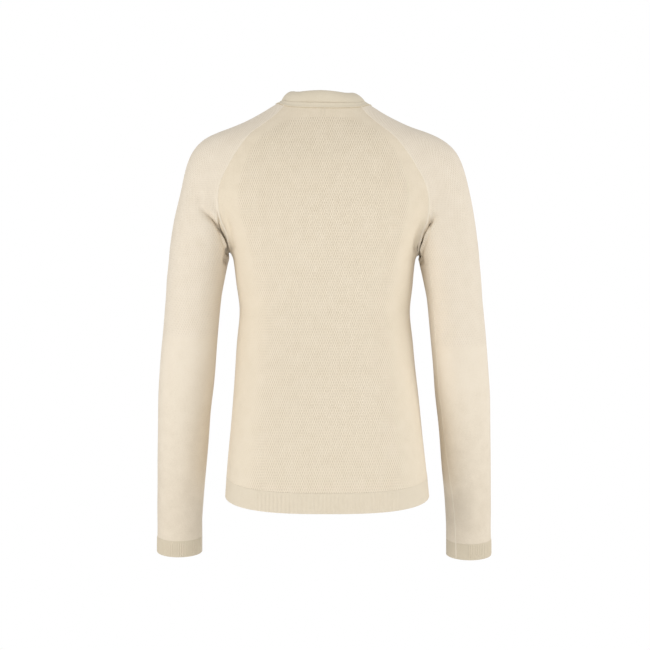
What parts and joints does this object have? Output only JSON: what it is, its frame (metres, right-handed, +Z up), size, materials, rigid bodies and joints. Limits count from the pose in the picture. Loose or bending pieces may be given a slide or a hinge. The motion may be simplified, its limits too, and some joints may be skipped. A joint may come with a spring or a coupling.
{
  "type": "thermal base layer top",
  "caption": "Long-sleeved seamless-knit thermal top with raglan sleeves, a low stand collar, ribbed cuffs and a ribbed hem band, in its worn form.",
  "frame": {"origin": "middle of the neck seam, at the height of its lowest point behind, where the wearer carries the top", "axes": "+Z up to the wearer's head, -Y the way the wearer faces, +X to the wearer's left"},
  "size_m": [0.499, 0.2238, 0.6895],
  "materials": {
    "body_knit": "matt open bird's-eye knit in beige polyamide yarn",
    "sleeve_knit": "matt fine knit in beige polyamide yarn",
    "collar_knit": "matt smooth doubled knit in beige polyamide yarn",
    "hem_rib": "matt ribbed knit in beige polyamide yarn",
    "cuff_rib": "matt fine ribbed knit in beige polyamide yarn"
  },
  "bodies": {
    "root": {"body": "body_knit", "sleeve_upper_left": "sleeve_knit", "sleeve_upper_right": "sleeve_knit", "sleeve_lower_left": "sleeve_knit", "sleeve_lower_right": "sleeve_knit", "collar": "collar_knit", "hem_band": "hem_rib", "cuff_left": "cuff_rib", "cuff_right": "cuff_rib"}
  },
  "joints": []
}
